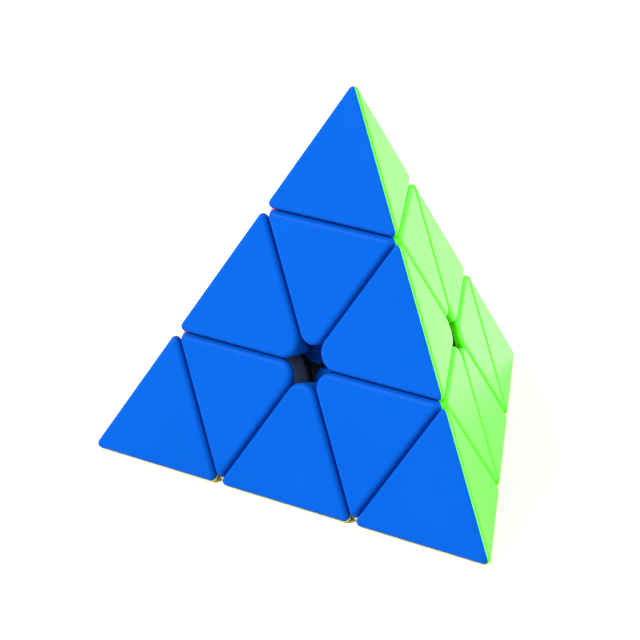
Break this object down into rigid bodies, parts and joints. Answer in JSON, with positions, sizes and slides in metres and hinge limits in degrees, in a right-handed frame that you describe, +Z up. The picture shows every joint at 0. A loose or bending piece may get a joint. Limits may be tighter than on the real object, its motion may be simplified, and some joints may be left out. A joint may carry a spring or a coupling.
{
  "type": "pyramid twisty puzzle",
  "caption": "Tetrahedral twisty puzzle with four turning corner layers, four turning tips and coloured shell pieces held to a sprung inner core.",
  "frame": {"origin": "centre of the core, where the four turning axes meet, which is also the centroid of the tetrahedron", "axes": "+Z up through the top vertex and square to the flat base face, -Y towards the viewer out of the blue face's side, +X to the right along the blue face's lower edge"},
  "size_m": [0.098, 0.0852, 0.0805],
  "materials": {
    "blue_plastic": "smooth satin moulded plastic, blue",
    "green_plastic": "smooth satin moulded plastic, bright green",
    "red_plastic": "smooth satin moulded plastic, red",
    "yellow_plastic": "smooth satin moulded plastic, yellow",
    "grey_plastic": "matt moulded plastic, grey",
    "core_plastic": "matt moulded plastic, dark grey",
    "screw_steel": "zinc plated steel",
    "washer_steel": "plain steel",
    "spring_steel": "bright spring wire"
  },
  "bodies": {
    "core": {"core_spider": "core_plastic", "tension_screws": "screw_steel", "spring_washers": "washer_steel", "tension_springs": "spring_steel"},
    "top_axial": {"top_axial_blue_cap": "blue_plastic", "top_axial_body": "grey_plastic", "top_axial_green_cap": "green_plastic", "top_axial_red_cap": "red_plastic"},
    "top_tip": {"top_tip_blue_cap": "blue_plastic", "top_tip_core": "grey_plastic", "top_tip_green_cap": "green_plastic", "top_tip_red_cap": "red_plastic"},
    "left_axial": {"left_axial_blue_cap": "blue_plastic", "left_axial_body": "grey_plastic", "left_axial_red_cap": "red_plastic", "left_axial_yellow_cap": "yellow_plastic"},
    "left_tip": {"left_tip_blue_cap": "blue_plastic", "left_tip_core": "grey_plastic", "left_tip_red_cap": "red_plastic", "left_tip_yellow_cap": "yellow_plastic"},
    "right_axial": {"right_axial_blue_cap": "blue_plastic", "right_axial_body": "grey_plastic", "right_axial_green_cap": "green_plastic", "right_axial_yellow_cap": "yellow_plastic"},
    "right_tip": {"right_tip_blue_cap": "blue_plastic", "right_tip_core": "grey_plastic", "right_tip_green_cap": "green_plastic", "right_tip_yellow_cap": "yellow_plastic"},
    "back_axial": {"back_axial_body": "grey_plastic", "back_axial_green_cap": "green_plastic", "back_axial_red_cap": "red_plastic", "back_axial_yellow_cap": "yellow_plastic"},
    "back_tip": {"back_tip_core": "grey_plastic", "back_tip_green_cap": "green_plastic", "back_tip_red_cap": "red_plastic", "back_tip_yellow_cap": "yellow_plastic"},
    "top_left_edge": {"top_left_edge_blue_half": "blue_plastic", "top_left_edge_red_half": "red_plastic"},
    "top_right_edge": {"top_right_edge_blue_half": "blue_plastic", "top_right_edge_green_half": "green_plastic"},
    "top_back_edge": {"top_back_edge_green_half": "green_plastic", "top_back_edge_red_half": "red_plastic"},
    "left_right_edge": {"left_right_edge_blue_half": "blue_plastic", "left_right_edge_yellow_half": "yellow_plastic"},
    "right_back_edge": {"right_back_edge_green_half": "green_plastic", "right_back_edge_yellow_half": "yellow_plastic"},
    "back_left_edge": {"back_left_edge_red_half": "red_plastic", "back_left_edge_yellow_half": "yellow_plastic"}
  },
  "joints": [
    {"name": "top_layer_turn", "type": "hinge", "parent": "core", "child": "top_axial", "pos_m": [0, 0, 0], "axis": [0, 0, 1], "range_deg": [-240, 120]},
    {"name": "left_layer_turn", "type": "hinge", "parent": "core", "child": "left_axial", "pos_m": [0, 0, 0], "axis": [-0.8165, -0.4714, -0.3333], "range_deg": [-240, 120]},
    {"name": "right_layer_turn", "type": "hinge", "parent": "core", "child": "right_axial", "pos_m": [0, 0, 0], "axis": [0.8165, -0.4714, -0.3333], "range_deg": [-240, 120]},
    {"name": "back_layer_turn", "type": "hinge", "parent": "core", "child": "back_axial", "pos_m": [0, 0, 0], "axis": [0, 0.9428, -0.3333], "range_deg": [-240, 120]},
    {"name": "top_tip_turn", "type": "hinge", "parent": "top_axial", "child": "top_tip", "pos_m": [0, 0, 0], "axis": [0, 0, 1], "continuous": true},
    {"name": "left_tip_turn", "type": "hinge", "parent": "left_axial", "child": "left_tip", "pos_m": [0, 0, 0], "axis": [-0.8165, -0.4714, -0.3333], "continuous": true},
    {"name": "right_tip_turn", "type": "hinge", "parent": "right_axial", "child": "right_tip", "pos_m": [0, 0, 0], "axis": [0.8165, -0.4714, -0.3333], "continuous": true},
    {"name": "back_tip_turn", "type": "hinge", "parent": "back_axial", "child": "back_tip", "pos_m": [0, 0, 0], "axis": [0, 0.9428, -0.3333], "continuous": true},
    {"name": "top_left_edge_with_left_layer", "type": "hinge", "parent": "top_axial", "child": "top_left_edge", "pos_m": [0, 0, 0], "axis": [-0.8165, -0.4714, -0.3333], "range_deg": [-240, 120]},
    {"name": "top_right_edge_with_right_layer", "type": "hinge", "parent": "top_axial", "child": "top_right_edge", "pos_m": [0, 0, 0], "axis": [0.8165, -0.4714, -0.3333], "range_deg": [-240, 120]},
    {"name": "top_back_edge_with_back_layer", "type": "hinge", "parent": "top_axial", "child": "top_back_edge", "pos_m": [0, 0, 0], "axis": [0, 0.9428, -0.3333], "range_deg": [-240, 120]},
    {"name": "left_right_edge_with_right_layer", "type": "hinge", "parent": "left_axial", "child": "left_right_edge", "pos_m": [0, 0, 0], "axis": [0.8165, -0.4714, -0.3333], "range_deg": [-240, 120]},
    {"name": "right_back_edge_with_back_layer", "type": "hinge", "parent": "right_axial", "child": "right_back_edge", "pos_m": [0, 0, 0], "axis": [0, 0.9428, -0.3333], "range_deg": [-240, 120]},
    {"name": "back_left_edge_with_left_layer", "type": "hinge", "parent": "back_axial", "child": "back_left_edge", "pos_m": [0, 0, 0], "axis": [-0.8165, -0.4714, -0.3333], "range_deg": [-240, 120]}
  ],
  "couplings": [
    {"joint": "top_left_edge_with_left_layer", "follows": "left_layer_turn", "ratio": 1},
    {"joint": "top_right_edge_with_right_layer", "follows": "right_layer_turn", "ratio": 1},
    {"joint": "top_back_edge_with_back_layer", "follows": "back_layer_turn", "ratio": 1},
    {"joint": "left_right_edge_with_right_layer", "follows": "right_layer_turn", "ratio": 1},
    {"joint": "right_back_edge_with_back_layer", "follows": "back_layer_turn", "ratio": 1},
    {"joint": "back_left_edge_with_left_layer", "follows": "left_layer_turn", "ratio": 1}
  ]
}
